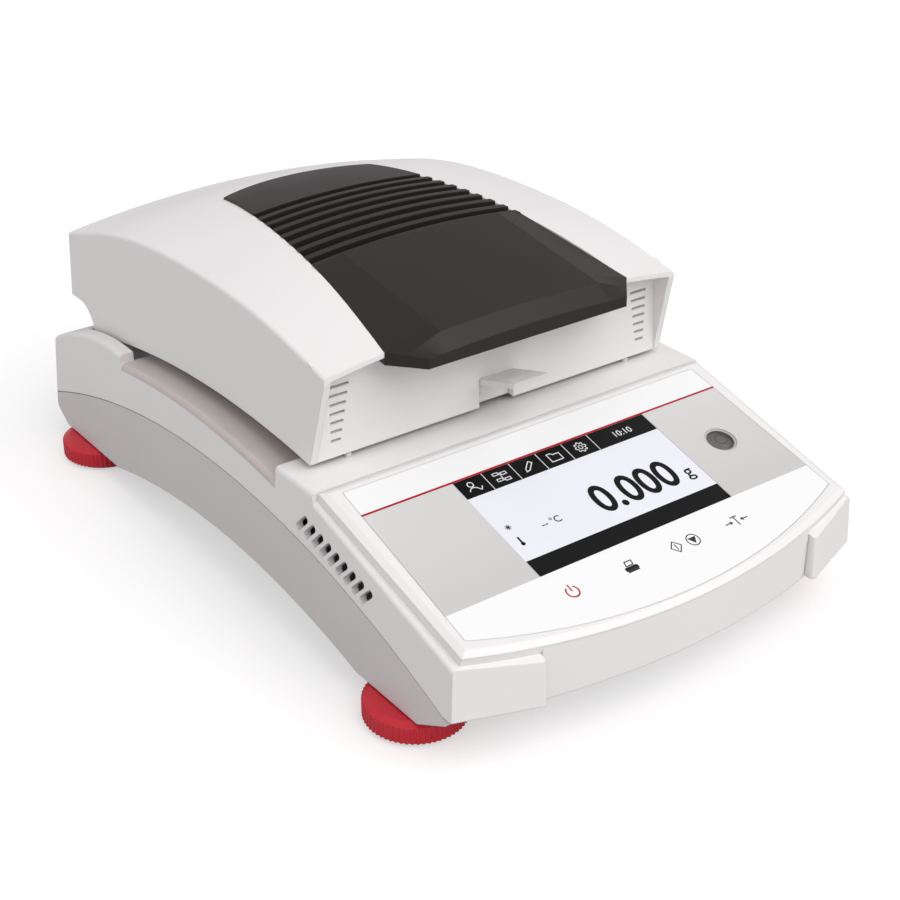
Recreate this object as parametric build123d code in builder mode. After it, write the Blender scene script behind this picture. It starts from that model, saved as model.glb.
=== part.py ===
from build123d import *
import math
import os

os.makedirs("parts", exist_ok=True)

# Frame: millimetres, Z up, X across, front towards -Y, origin under the middle of the base

# Overall body
front_y = -170.0
rear_y = 169.15
body_half_width = 100.4
body_draft = 3.2
block_outer_y = -154.0
block_inner_x = 66.0
block_inner_y = -166.4
rear_corner_radius = 12.0
shell_wall = 3.0
plan_height = 90.0

# Parting line and underside
parting_low_z = 22.0
parting_high_z = 51.3
parting_front_y = -148.0
parting_mid_y = 8.0
parting_rear_y = 162.0
parting_gap = 0.4
underside_low_z = 10.3
underside_high_z = 22.0
toe_tip_y = -150.0
toe_tip_z = 19.0
toe_y = -134.0
arch_front_y = -96.0
arch_mid_y = 5.0
arch_rear_y = 96.0
heel_y = 148.0

# Deck under the lid
sill_front_y = -64.9
sill_rear_y = -39.0
sill_z = 70.0
channel_rear_y = 89.0
channel_front_z = 64.0
channel_mid_z = 68.3
channel_rear_z = 63.5
shoulder_z = 67.5
pocket_rear_y = 134.0
pocket_floor_z = 56.5
ridge_width = 10.0
pocket_half_width = body_half_width - ridge_width
hump_mid_y = 135.0
hump_mid_z = 61.5
hump_rear_z = 44.0
ridge_round = 2.0

# Side vents of the base
side_vent_count = 9
side_vent_first_y = -58.0
side_vent_first_z = 54.7
side_vent_pitch_y = -5.35
side_vent_pitch_z = -1.22
side_vent_length = 10.0
side_vent_width = 3.0

# Panel
panel_slope = 0.27
panel_z0 = 89.3
bezel_height = 5.0
bezel_side_margin = 5.9
bezel_half_width = body_half_width - bezel_side_margin
bezel_back_y = -66.5
bezel_corner_y = -153.0
bezel_front_y = -168.5
bezel_chamfer = 2.5
apron_mid_y = -167.9
apron_end_y = -160.45
apron_thickness = 3.0
apron_bottom_z = 21.5
apron_gap = 0.3
tray_front_thickness = 2.5
block_round = 1.5
foil_back_margin = 7.35
foil_front_margin = 5.1
foil_half_back = bezel_half_width - foil_back_margin
foil_half_front = bezel_half_width - foil_front_margin
foil_back_y = -71.0
foil_corner_y = -148.0
foil_front_y = -165.2
foil_thickness = 0.5
foil_clearance = 0.15
display_mid_y = -110.3
display_width = 95.04
display_height = 53.86
display_depth = 4.5
display_border = 2.5
window_clearance = 0.2
housing_window_margin = 3.0
level_inset = 19.95
level_x = foil_half_back - level_inset
level_y = -109.7
level_radius = 6.7
vial_wall = 1.0
vial_depth = 4.0
board_thickness = 1.6
keypad_mid_y = -149.0
keypad_width = 118.0
keypad_height = 16.0

# Feet
foot_inset = 11.4
foot_x = body_half_width - foot_inset
foot_front_y = -118.0
foot_rear_y = 131.5
wheel_radius = 19.7
wheel_top_z = 9.6
wheel_bevel = 1.6
sole_height = 1.5
sole_radius = 17.0
stud_radius = 4.0
stud_clearance = 0.05
stud_top_z = 26.0
insert_radius = 6.5
insert_top_z = 24.0
flute_count = 60
flute_radius = 0.75
flute_depth = 0.25
sole_gap = 0.3
sole_pin_radius = 3.0
sole_pin_height = 4.0

boss_wall = 2.5

screw_head_radius = 3.5
screw_head_height = 2.5
screw_radius = 1.5
screw_length = 20.0
screw_places = {
    "front_left": (-60.0, -112.0),
    "front_right": (60.0, -112.0),
    "rear_left": (-60.0, 128.0),
    "rear_right": (60.0, 128.0),
}
screw_boss_radius = 5.0
screw_boss_z = 17.0
cover_post_z = 51.5

# Weighing cell and boards
cell_seat_z = 29.0
cell_fixed_y = -58.0
cell_seat_length = 26.0
cell_width = 24.0
cell_height = 15.0
cell_free_y = 42.0
cell_bottom_z = 31.0
cell_window_radius = 5.0
board_post_radius = 3.0
board_post_x = 60.0
board_post_half_x = 22.0
board_post_mid_y = 20.0
board_post_half_y = 40.0

# Weighing chamber
pan_y = 30.0
collar_top_z = 67.0
tub_radius = 60.0
tub_floor_z = 50.0
tub_sheet = 0.8
tub_flange = 4.0
collar_margin = 2.0
collar_radius = tub_radius + tub_flange + collar_margin
tub_hole_radius = 9.0
pan_radius = 45.0
pan_sheet = 0.6
pan_floor_z = 63.0
pan_height = 6.5
pan_rim = 2.5
lifter_inner_radius = 46.0
lifter_outer_radius = 50.0
lifter_z = 64.6
lifter_thickness = 1.2
shield_radius = 53.0
shield_sheet = 1.2
support_radius = 38.0
post_radius = 5.0
support_z = 58.0
support_width = 8.0
support_thickness = 2.5
pan_seat_gap = 0.3
grip_width = 24.0
grip_length = 6.5
grip_height = 5.0

# Hinge
hinge_y = 143.0
hinge_z = 82.0
cheek_gap = 2.55
lid_side_x = pocket_half_width - cheek_gap
hinge_inset = 21.85
hinge_x = lid_side_x - hinge_inset
pin_radius = 2.5
hinge_clearance = 0.05

# Rear connectors
port_z = 32.0
port_depth = 12.0
port_face_y = 166.75
inlet_width = 28.0
inlet_height = 20.0
inlet_cavity_width = 24.0
inlet_cavity_height = 16.0
inlet_depth = 24.0
inlet_cavity_depth = 15.0
serial_width = 30.0
serial_height = 12.0
usb_width = 14.0
usb_height = 7.0

# Lid bumpers on the sill
bumper_inset = 17.85
bumper_x = lid_side_x - bumper_inset
bumper_y = -48.4
bumper_radius = 1.4
bumper_seat = 1.2

# Lid
lid_front_y = -58.5
lid_wall_y = -50.0
lid_rear_y = 154.0
lid_wall = 3.0
lid_side_z = 72.3
lid_side_lean = 0.0597
lid_base_z = 52.0
lid_edge_mid_y = 38.6
lid_edge_mid_z = 74.2
lid_edge_rear_y = 130.7
lid_edge_rear_z = 59.9
lid_cut_z = 71.7
lid_lip_z = 108.0
lid_ridge_round = 1.5
lid_gap = 0.3

lid_stations = [
    # y, height of the side ridge, crown above it
    (-58.5, 110.4, 6.6),
    (-25.0, 117.0, 8.0),
    (10.0, 120.3, 9.3),
    (45.0, 120.5, 9.8),
    (80.0, 118.3, 9.6),
    (115.0, 112.2, 8.6),
    (154.0, 101.2, 7.3),
]
front_vent_count = 7
front_vent_inset = 13.85
front_vent_x = lid_side_x - front_vent_inset
front_vent_top_z = 101.5
front_vent_pitch = 3.7
front_vent_height = 1.1
front_vent_width = 8.6
front_vent_step = 0.7
exhaust_margin = 7.85
exhaust_half_width = lid_side_x - exhaust_margin
exhaust_z = 90.0
notch_half_width = 8.5
notch_top_z = 85.0
handle_clearance = 0.2
handle_reach_y = -71.8
handle_tip_z = 91.6
handle_thickness = 3.0
handle_flange_half = 14.0

# Black top plate
insert_half_front = 59.2
insert_half_rear = 38.0
insert_front_y = -58.5
insert_corner_y = 95.0
insert_rear_y = 103.3
insert_lift = 0.8
insert_depth = 6.0
nose_y = -71.0
nose_half = 48.3
nose_top_z = 113.0
nose_bottom_z = 108.7
brow_y = -64.8
brow_half = 53.6
brow_edge_z = 113.6
facet_half = 38.5
facet_edge_z = 126.0
facet_crown = 1.2
corner_edge_z = 114.2
facet_brow_z = 119.2
facet_front_z = 120.1
facet_rear_z = 129.2
facet_rear_y = 0.0
rib_count = 7
rib_pitch = 7.68
rib_first_y = 8.6
rib_thickness = 3.0
rib_depth = 4.0
rib_zone_rear_y = 61.0

# Lid inside
frame_z = 77.0
frame_thickness = 3.0
frame_hole_radius = 50.0
glass_radius = 54.0
glass_thickness = 1.5
clamp_outer_radius = 60.0
clamp_thickness = 1.5
reflector_bulge_x = 40.0
reflector_bulge_z = 94.0
reflector_top_z = 101.0
reflector_top_radius = 18.0
reflector_sheet = 1.0
lamp_radius = 36.0
lamp_tube_radius = 4.0
lamp_z = 89.0
holder_width = 9.0
probe_radius = 2.0
probe_x = 30.0
probe_y = 92.0
lid_post_x = 50.0
lid_post_ys = (-34.0, 80.0)
lid_post_radius = 4.0
arm_width = 6.0
arm_radius = 7.0
bracket_width = 8.0
bracket_radius = 6.0
baffle_gap = 11.0
frame_rear_y = hinge_y - bracket_radius - baffle_gap

panel_angle = math.degrees(math.atan(panel_slope))
panel_cos = math.cos(math.radians(panel_angle))


def panel_z(y):
    return panel_z0 + panel_slope * y


def panel_v(y):
    return (y - display_mid_y) / panel_cos


panel_plane = Plane(
    origin=(0, display_mid_y, panel_z(display_mid_y)),
    x_dir=(1, 0, 0),
    z_dir=(0, -math.sin(math.radians(panel_angle)), panel_cos),
)
side_plane = Plane(origin=(0, 0, 0), x_dir=(0, 1, 0), z_dir=(1, 0, 0))
pan_plane = Plane(origin=(0, pan_y, 0), x_dir=(1, 0, 0), z_dir=(0, 0, 1))
rear_plane = Plane(origin=(0, rear_y, 0), x_dir=(-1, 0, 0), z_dir=(0, 1, 0))
rear_ports = [
    (-60.0, inlet_width, inlet_height),
    (20.0, serial_width, serial_height),
    (56.0, usb_width, usb_height),
]
board_posts = [
    (side * board_post_x + dx, board_post_mid_y + dy)
    for side in (-1, 1)
    for dx in (-board_post_half_x, board_post_half_x)
    for dy in (-board_post_half_y, board_post_half_y)
]
foot_places = {
    "front_left": (-foot_x, foot_front_y),
    "front_right": (foot_x, foot_front_y),
    "rear_left": (-foot_x, foot_rear_y),
    "rear_right": (foot_x, foot_rear_y),
}


def save(part, label):
    part.label = label
    export_step(part, f"parts/{label}.step")


# Plan shape of the base with drafted sides
def plan_block(inset):
    half = body_half_width - inset
    with BuildPart() as block:
        with BuildSketch(Plane.XY):
            with BuildLine():
                Line((half, block_outer_y + inset), (half, rear_y - inset))
                Line((half, rear_y - inset), (-half, rear_y - inset))
                Line((-half, rear_y - inset), (-half, block_outer_y + inset))
                Line((-half, block_outer_y + inset), (-block_inner_x, block_inner_y + inset))
                ThreePointArc(
                    (-block_inner_x, block_inner_y + inset),
                    (0, front_y + inset),
                    (block_inner_x, block_inner_y + inset),
                )
                Line((block_inner_x, block_inner_y + inset), (half, block_outer_y + inset))
            make_face()
        extrude(amount=plan_height, taper=body_draft)
        tall = block.edges().filter_by(lambda e: abs(e.center().Z - plan_height / 2) < 2)
        rear_pair = tall.sort_by(Axis.Y)[-2:]
        fillet(rear_pair, rear_corner_radius - inset)
    return block.part


# Zone in front of the bowed apron, set back by reach and as wide as the space between the corner blocks
def apron_zone(reach, half):
    with BuildPart() as zone:
        with BuildSketch(Plane.XY):
            with BuildLine():
                Line((-half, front_y - 10), (-half, apron_end_y + reach))
                ThreePointArc(
                    (-half, apron_end_y + reach), (0, apron_mid_y + reach), (half, apron_end_y + reach)
                )
                Line((half, apron_end_y + reach), (half, front_y - 10))
                Line((half, front_y - 10), (-half, front_y - 10))
            make_face()
        extrude(amount=plan_height)
    return zone.part


# Upper cover: a drafted plan block trimmed by its side profile
def cover_form(inset):
    with BuildPart() as form:
        with BuildSketch(side_plane):
            with BuildLine():
                front_top = panel_z(front_y) - bezel_height / panel_cos - inset
                step_foot = panel_z(sill_front_y + inset) - bezel_height / panel_cos - inset
                deck_y = sill_rear_y - inset
                Line((front_y - 5, 5), (front_y - 5, front_top - 5 * panel_slope))
                Line((front_y - 5, front_top - 5 * panel_slope), (sill_front_y + inset, step_foot))
                Line((sill_front_y + inset, step_foot), (sill_front_y + inset, sill_z - inset))
                Line((sill_front_y + inset, sill_z - inset), (deck_y, sill_z - inset))
                Line((deck_y, sill_z - inset), (deck_y, channel_front_z - inset))
                if inset == 0:
                    ThreePointArc(
                        (deck_y, channel_front_z),
                        ((sill_rear_y + channel_rear_y) / 2, channel_mid_z),
                        (channel_rear_y, channel_rear_z),
                    )
                    Line((channel_rear_y, channel_rear_z), (channel_rear_y, shoulder_z))
                    ThreePointArc(
                        (channel_rear_y, shoulder_z), (hump_mid_y, hump_mid_z), (rear_y, hump_rear_z)
                    )
                    Line((rear_y, hump_rear_z), (rear_y, 5))
                else:
                    ThreePointArc(
                        (deck_y, channel_front_z - inset),
                        ((sill_rear_y + channel_rear_y) / 2, channel_mid_z - inset),
                        (channel_rear_y - inset, channel_rear_z - inset),
                    )
                    Line(
                        (channel_rear_y - inset, channel_rear_z - inset),
                        (channel_rear_y - inset, pocket_floor_z - inset),
                    )
                    Line(
                        (channel_rear_y - inset, pocket_floor_z - inset),
                        (hump_mid_y + inset, pocket_floor_z - inset),
                    )
                    Line((hump_mid_y + inset, pocket_floor_z - inset), (rear_y - inset, hump_rear_z - inset))
                    Line((rear_y - inset, hump_rear_z - inset), (rear_y - inset, 5))
                Line((rear_y - inset, 5), (front_y - 5, 5))
            make_face()
        extrude(amount=body_half_width + 10, both=True)
        add(plan_block(inset), mode=Mode.INTERSECT)
    return form.part


# Everything above the arched parting line, or below it
def parting_side(upper):
    reach = plan_height if upper else -plan_height
    lift = 0 if upper else -parting_gap
    with BuildPart() as side:
        with BuildSketch(side_plane):
            with BuildLine():
                Line((front_y - 10, parting_low_z + lift), (parting_front_y, parting_low_z + lift))
                ThreePointArc(
                    (parting_front_y, parting_low_z + lift),
                    (parting_mid_y, parting_high_z + lift),
                    (parting_rear_y, parting_low_z + lift),
                )
                Line((parting_rear_y, parting_low_z + lift), (rear_y + 10, parting_low_z + lift))
                Line((rear_y + 10, parting_low_z + lift), (rear_y + 10, reach))
                Line((rear_y + 10, reach), (front_y - 10, reach))
                Line((front_y - 10, reach), (front_y - 10, parting_low_z + lift))
            make_face()
        extrude(amount=body_half_width + 10, both=True)
    return side.part


cover_outer = cover_form(0)
with BuildPart() as cover_void:
    add(cover_form(shell_wall))
    add(
        apron_zone(apron_thickness + apron_gap + shell_wall, block_inner_x + shell_wall),
        mode=Mode.SUBTRACT,
    )
above_parting = parting_side(True)
below_parting = parting_side(False)

# Side vents: a row of slanted slots, cut the same on both sides
with BuildPart() as side_vents:
    with BuildSketch(side_plane):
        for index in range(side_vent_count):
            place = (
                side_vent_first_y + index * side_vent_pitch_y,
                side_vent_first_z + index * side_vent_pitch_z,
            )
            with Locations(place):
                SlotOverall(side_vent_length, side_vent_width, rotation=-45)
    extrude(amount=body_half_width + 5, both=True)
    Box(2 * pocket_half_width, 400, 400, mode=Mode.SUBTRACT)

# Upper housing
with BuildPart() as upper_housing:
    add(cover_outer)
    add(above_parting, mode=Mode.INTERSECT)
    ridge = upper_housing.edges().filter_by(
        lambda e: abs(e.center().X) > pocket_half_width and e.center().Z > parting_high_z + 1 and e.length > 20
    )
    fillet(ridge, ridge_round)
    # the apron hangs in front of the cover, between the corner blocks
    add(apron_zone(apron_thickness + apron_gap, block_inner_x), mode=Mode.SUBTRACT)
    block_tips = upper_housing.edges().filter_by(
        lambda e: e.center().Y < block_inner_y + 0.5 + 2 and abs(abs(e.center().X) - block_inner_x) < 0.5
        and e.bounding_box().size.Z > 15
    )
    fillet(block_tips, block_round)
    add(cover_void.part, mode=Mode.SUBTRACT)
    # raised collar and bore that carry the heat tub
    with BuildSketch(pan_plane.offset(pocket_floor_z - shell_wall)):
        Circle(collar_radius)
    extrude(amount=collar_top_z - pocket_floor_z + shell_wall)
    # pocket that takes the lid's cheeks in front of the hump
    pocket_length = pocket_rear_y - channel_rear_y
    with BuildSketch(Plane.XY.offset(pocket_floor_z)):
        with Locations((0, channel_rear_y + pocket_length / 2)):
            Rectangle(2 * pocket_half_width, pocket_length)
        with Locations((0, pan_y)):
            Circle(collar_radius, mode=Mode.SUBTRACT)
    extrude(amount=20, mode=Mode.SUBTRACT)
    with BuildSketch(pan_plane.offset(pocket_floor_z - shell_wall - 5)):
        Circle(tub_radius + window_clearance)
    extrude(amount=40, mode=Mode.SUBTRACT)
    with BuildSketch(pan_plane.offset(collar_top_z)):
        Circle(collar_radius)
    extrude(amount=20, mode=Mode.SUBTRACT)
    # opening under the display
    with BuildSketch(panel_plane.offset(-bezel_height - 10)):
        Rectangle(
            display_width + 2 * housing_window_margin,
            display_height + 2 * housing_window_margin,
        )
    extrude(amount=20, mode=Mode.SUBTRACT)
    add(side_vents.part, mode=Mode.SUBTRACT)
    # posts that take the housing screws
    for place in screw_places.values():
        with BuildSketch(Plane.XY.offset(screw_boss_z)):
            with Locations(place):
                Circle(screw_boss_radius)
                Circle(screw_radius, mode=Mode.SUBTRACT)
        extrude(amount=(pocket_floor_z if place[1] > 0 else cover_post_z) - screw_boss_z)
    # rear wall openings for the connectors
    for x, width, height in rear_ports:
        with BuildSketch(rear_plane):
            with Locations((-x, port_z)):
                Rectangle(width, height)
        extrude(amount=-port_depth, mode=Mode.SUBTRACT)
    # seats of the lid bumpers
    with BuildSketch(Plane.XY.offset(sill_z - bumper_seat)):
        with Locations((-bumper_x, bumper_y), (bumper_x, bumper_y)):
            Circle(bumper_radius)
    extrude(amount=bumper_seat + 1, mode=Mode.SUBTRACT)
save(upper_housing.part, "upper_housing")


# Underside profile: raised toe and heel, an arch between the feet
def underside_form(inset):
    with BuildPart() as form:
        with BuildSketch(side_plane):
            with BuildLine():
                Line((front_y - 5, toe_tip_z + inset), (toe_tip_y, toe_tip_z + inset))
                Line((toe_tip_y, toe_tip_z + inset), (toe_y, underside_low_z + inset))
                Line((toe_y, underside_low_z + inset), (arch_front_y, underside_low_z + inset))
                ThreePointArc(
                    (arch_front_y, underside_low_z + inset),
                    (arch_mid_y, underside_high_z + inset),
                    (arch_rear_y, underside_low_z + inset),
                )
                Line((arch_rear_y, underside_low_z + inset), (heel_y, underside_low_z + inset))
                Line((heel_y, underside_low_z + inset), (rear_y - 4, parting_low_z - 2 + inset))
                Line((rear_y - 4, parting_low_z - 2 + inset), (rear_y + 5, parting_low_z - 2 + inset))
                Line((rear_y + 5, parting_low_z - 2 + inset), (rear_y + 5, plan_height))
                Line((rear_y + 5, plan_height), (front_y - 5, plan_height))
                Line((front_y - 5, plan_height), (front_y - 5, toe_tip_z + inset))
            make_face()
        extrude(amount=body_half_width + 10, both=True)
        add(plan_block(inset), mode=Mode.INTERSECT)
    return form.part


# Front of the tray: a plate that closes the cover from below, inside its walls
with BuildPart() as tray_front:
    add(plan_block(shell_wall + apron_gap))
    with BuildSketch(side_plane):
        with BuildLine():
            plate_z = parting_low_z + tray_front_thickness
            wall_y = toe_tip_y + shell_wall
            Line((front_y, parting_low_z), (toe_tip_y, parting_low_z))
            Line((toe_tip_y, parting_low_z), (toe_tip_y, toe_tip_z))
            Line((toe_tip_y, toe_tip_z), (wall_y, toe_tip_z))
            Line((wall_y, toe_tip_z), (wall_y, plate_z))
            Line((wall_y, plate_z), (front_y, plate_z))
            Line((front_y, plate_z), (front_y, parting_low_z))
        make_face()
    extrude(amount=body_half_width + 10, both=True, mode=Mode.INTERSECT)
    add(
        apron_zone(
            apron_thickness + 2 * apron_gap + shell_wall, block_inner_x + shell_wall + apron_gap
        ),
        mode=Mode.SUBTRACT,
    )

# Lower housing: tray with bosses for the feet, the load cell and the boards
underside_outer = underside_form(0)
with BuildPart() as lower_housing:
    add(underside_outer)
    add(below_parting, mode=Mode.INTERSECT)
    add(underside_form(shell_wall), mode=Mode.SUBTRACT)
    with BuildSketch(Plane.XY):
        with Locations((0, toe_tip_y - plan_height / 2)):
            Rectangle(3 * body_half_width, plan_height)
    extrude(amount=plan_height, mode=Mode.SUBTRACT)
    add(tray_front.part)
    for place in foot_places.values():
        with BuildSketch(Plane.XY.offset(underside_low_z)):
            with Locations(place):
                Circle(insert_radius + boss_wall)
        extrude(amount=insert_top_z - underside_low_z)
    with BuildSketch(Plane.XY.offset(cell_seat_z)):
        with Locations((0, cell_fixed_y)):
            Rectangle(cell_width + 6, cell_seat_length)
        for place in board_posts:
            with Locations(place):
                Circle(board_post_radius)
    extrude(amount=underside_low_z - cell_seat_z)
    add(underside_outer, mode=Mode.INTERSECT)
    for place in screw_places.values():
        with BuildSketch(Plane.XY.offset(underside_low_z)):
            with Locations(place):
                Circle(screw_boss_radius)
        extrude(amount=screw_boss_z - underside_low_z)
        with BuildSketch(Plane.XY.offset(underside_low_z)):
            with Locations(place):
                Circle(screw_head_radius)
        extrude(amount=1 + screw_head_height, mode=Mode.SUBTRACT)
        with BuildSketch(Plane.XY.offset(underside_low_z)):
            with Locations(place):
                Circle(screw_radius)
        extrude(amount=screw_boss_z, mode=Mode.SUBTRACT)
    for place in foot_places.values():
        with BuildSketch(Plane.XY.offset(underside_low_z - 1)):
            with Locations(place):
                Circle(insert_radius)
        extrude(amount=insert_top_z, mode=Mode.SUBTRACT)
save(lower_housing.part, "lower_housing")


# Panel outlines, drawn in the tilted panel plane
def panel_outline(half_back, back_y, half_front, corner_y, mid_y):
    with BuildSketch() as outline:
        with BuildLine():
            Line((half_back, panel_v(back_y)), (-half_back, panel_v(back_y)))
            Line((-half_back, panel_v(back_y)), (-half_front, panel_v(corner_y)))
            ThreePointArc(
                (-half_front, panel_v(corner_y)), (0, panel_v(mid_y)), (half_front, panel_v(corner_y))
            )
            Line((half_front, panel_v(corner_y)), (half_back, panel_v(back_y)))
        make_face()
    return outline.sketch


foil_outline = panel_outline(foil_half_back, foil_back_y, foil_half_front, foil_corner_y, foil_front_y)
level_spot = (level_x, panel_v(level_y))
module_width = display_width + 2 * display_border
module_height = display_height + 2 * display_border
vial_radius = level_radius + vial_wall

# Apron: the bezel's bowed front skirt
with BuildPart() as apron:
    add(apron_zone(apron_thickness, block_inner_x - apron_gap))
    add(apron_zone(0, block_inner_x), mode=Mode.SUBTRACT)
    with BuildSketch(Plane.XY):
        Rectangle(3 * body_half_width, 3 * rear_y)
    extrude(amount=apron_bottom_z, mode=Mode.SUBTRACT)
    with BuildSketch(panel_plane.offset(-0.6 * bezel_chamfer)):
        Rectangle(3 * body_half_width, 3 * rear_y)
    extrude(amount=-plan_height, mode=Mode.INTERSECT)

# Bezel: raised frame round the panel
with BuildPart() as panel_bezel:
    with BuildSketch(panel_plane):
        add(
            panel_outline(
                bezel_half_width, bezel_back_y, bezel_half_width, bezel_corner_y, bezel_front_y
            )
        )
    extrude(amount=-bezel_height)
    rim = panel_bezel.faces().filter_by(lambda f: f.normal_at().dot(panel_plane.z_dir) > 0.99).edges()
    chamfer(rim, bezel_chamfer * 0.6, bezel_chamfer)
    add(apron.part)
    with BuildSketch(panel_plane.offset(-foil_thickness)):
        add(foil_outline)
        offset(amount=foil_clearance)
    extrude(amount=foil_thickness + 1, mode=Mode.SUBTRACT)
    with BuildSketch(panel_plane):
        Rectangle(module_width + 2 * window_clearance, module_height + 2 * window_clearance)
    extrude(amount=-bezel_height - 1, mode=Mode.SUBTRACT)
    with BuildSketch(panel_plane):
        with Locations(level_spot):
            Circle(vial_radius)
    extrude(amount=-foil_thickness - vial_depth, mode=Mode.SUBTRACT)
save(panel_bezel.part, "panel_bezel")

# Front foil with its display window and level window
with BuildPart() as panel_overlay:
    with BuildSketch(panel_plane):
        add(foil_outline)
    extrude(amount=-foil_thickness)
    with BuildSketch(panel_plane):
        Rectangle(display_width, display_height)
        with Locations(level_spot):
            Circle(level_radius)
    extrude(amount=-foil_thickness - 1, mode=Mode.SUBTRACT)
save(panel_overlay.part, "panel_overlay")

# Display: its glass stands up into the foil's window
with BuildPart() as display_module:
    with BuildSketch(panel_plane.offset(-foil_thickness)):
        Rectangle(module_width, module_height)
    extrude(amount=-display_depth)
    with BuildSketch(panel_plane.offset(-foil_thickness)):
        Rectangle(display_width - window_clearance, display_height - window_clearance)
    extrude(amount=foil_thickness * 0.8)
save(display_module.part, "display_module")

# Bubble level: cup and lens
with BuildPart() as level_vial:
    with BuildSketch(panel_plane.offset(-foil_thickness)):
        with Locations(level_spot):
            Circle(vial_radius)
    extrude(amount=-vial_depth)
    with BuildSketch(panel_plane.offset(-foil_thickness)):
        with Locations(level_spot):
            Circle(level_radius - vial_wall)
    extrude(amount=-vial_depth + vial_wall, mode=Mode.SUBTRACT)
save(level_vial.part, "level_vial")

with BuildPart() as level_lens:
    with BuildSketch(panel_plane.offset(-foil_thickness)):
        with Locations(level_spot):
            Circle(level_radius - vial_wall)
    extrude(amount=-vial_depth + vial_wall)
save(level_lens.part, "level_lens")

# Control board under the cover, held flat against it
with BuildPart() as keypad_board:
    with BuildSketch(panel_plane.offset(-bezel_height - shell_wall)):
        with Locations((0, panel_v(keypad_mid_y))):
            Rectangle(keypad_width, keypad_height)
    extrude(amount=-board_thickness)
    with BuildSketch(panel_plane.offset(-bezel_height - shell_wall - board_thickness)):
        with Locations((-keypad_width / 4, panel_v(keypad_mid_y))):
            Rectangle(14, 14)
        with Locations((keypad_width / 4, panel_v(keypad_mid_y))):
            Rectangle(30, 7)
    extrude(amount=-3)
save(keypad_board.part, "keypad_board")

# Levelling feet: rubber sole, knurled wheel with stud, brass insert in the housing
for name, place in foot_places.items():
    with BuildPart() as foot_insert:
        with BuildSketch(Plane.XY.offset(underside_low_z)):
            with Locations(place):
                Circle(insert_radius)
                Circle(stud_radius + stud_clearance, mode=Mode.SUBTRACT)
        extrude(amount=insert_top_z - underside_low_z)
    save(foot_insert.part, f"foot_insert_{name}")

    with BuildPart() as foot_wheel:
        with BuildSketch(Plane.XY.offset(sole_height)):
            with Locations(place):
                Circle(wheel_radius)
        extrude(amount=wheel_top_z - sole_height)
        crown = foot_wheel.edges().filter_by(GeomType.CIRCLE).sort_by(Axis.Z)[-1]
        chamfer(crown, wheel_bevel, 2 * wheel_bevel)
        with BuildSketch(Plane.XY.offset(sole_height)):
            with Locations(place):
                with PolarLocations(wheel_radius + flute_depth, flute_count):
                    Circle(flute_radius)
        extrude(amount=wheel_top_z, mode=Mode.SUBTRACT)
        with BuildSketch(Plane.XY.offset(wheel_top_z - 1)):
            with Locations(place):
                Circle(stud_radius)
        extrude(amount=stud_top_z - wheel_top_z + 1)
        with BuildSketch(Plane.XY.offset(sole_height)):
            with Locations(place):
                Circle(sole_pin_radius + stud_clearance)
        extrude(amount=sole_pin_height + sole_gap, mode=Mode.SUBTRACT)
    save(foot_wheel.part, f"foot_wheel_{name}")

    with BuildPart() as foot_pad:
        with BuildSketch(Plane.XY):
            with Locations(place):
                Circle(sole_radius)
        extrude(amount=sole_height - sole_gap)
        with BuildSketch(Plane.XY):
            with Locations(place):
                Circle(sole_pin_radius)
        extrude(amount=sole_height + sole_pin_height - sole_gap)
    save(foot_pad.part, f"foot_pad_{name}")


# Heat tub: a thin steel bowl hung by its flange on the collar
with BuildPart() as chamber_tub:
    with BuildSketch(pan_plane.offset(tub_floor_z)):
        Circle(tub_radius)
    extrude(amount=collar_top_z - tub_floor_z)
    with BuildSketch(pan_plane.offset(collar_top_z)):
        Circle(tub_radius + tub_flange)
    extrude(amount=tub_sheet)
    with BuildSketch(pan_plane.offset(tub_floor_z + tub_sheet)):
        Circle(tub_radius - tub_sheet)
    extrude(amount=40, mode=Mode.SUBTRACT)
    with BuildSketch(pan_plane.offset(tub_floor_z)):
        Circle(tub_hole_radius)
    extrude(amount=5, mode=Mode.SUBTRACT)
save(chamber_tub.part, "chamber_tub")

# Draft shield: a ring standing in the tub
with BuildPart() as draft_shield:
    with BuildSketch(pan_plane.offset(tub_floor_z + tub_sheet)):
        Circle(shield_radius)
        Circle(shield_radius - shield_sheet, mode=Mode.SUBTRACT)
    extrude(amount=lifter_z - lid_gap - tub_floor_z - tub_sheet)
    with BuildSketch(pan_plane.offset(lifter_z - lid_gap)):
        Circle(shield_radius)
        Circle(lifter_inner_radius + 1, mode=Mode.SUBTRACT)
    extrude(amount=-shield_sheet)
save(draft_shield.part, "draft_shield")

# Load cell: bar with the usual double-hole window, fixed at its front end
with BuildPart() as load_cell:
    with BuildSketch(side_plane):
        with Locations(((cell_fixed_y - 13 + cell_free_y) / 2, cell_bottom_z + cell_height / 2)):
            Rectangle(cell_free_y - cell_fixed_y + 13, cell_height)
        with Locations(((cell_fixed_y + cell_free_y) / 2, cell_bottom_z + cell_height / 2)):
            SlotCenterToCenter(32, 2 * cell_window_radius, mode=Mode.SUBTRACT)
    extrude(amount=cell_width / 2, both=True)
save(load_cell.part, "load_cell")

with BuildPart() as load_cell_mount:
    with BuildSketch(Plane.XY.offset(cell_seat_z)):
        with Locations((0, cell_fixed_y)):
            Rectangle(cell_width + 4, cell_seat_length - 2)
    extrude(amount=cell_bottom_z - cell_seat_z)
save(load_cell_mount.part, "load_cell_mount")

# Post and cross that carry the pan
with BuildPart() as weigh_post:
    with BuildSketch(pan_plane.offset(cell_bottom_z + cell_height)):
        Circle(post_radius)
    extrude(amount=support_z - cell_bottom_z - cell_height)
save(weigh_post.part, "weigh_post")

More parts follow.
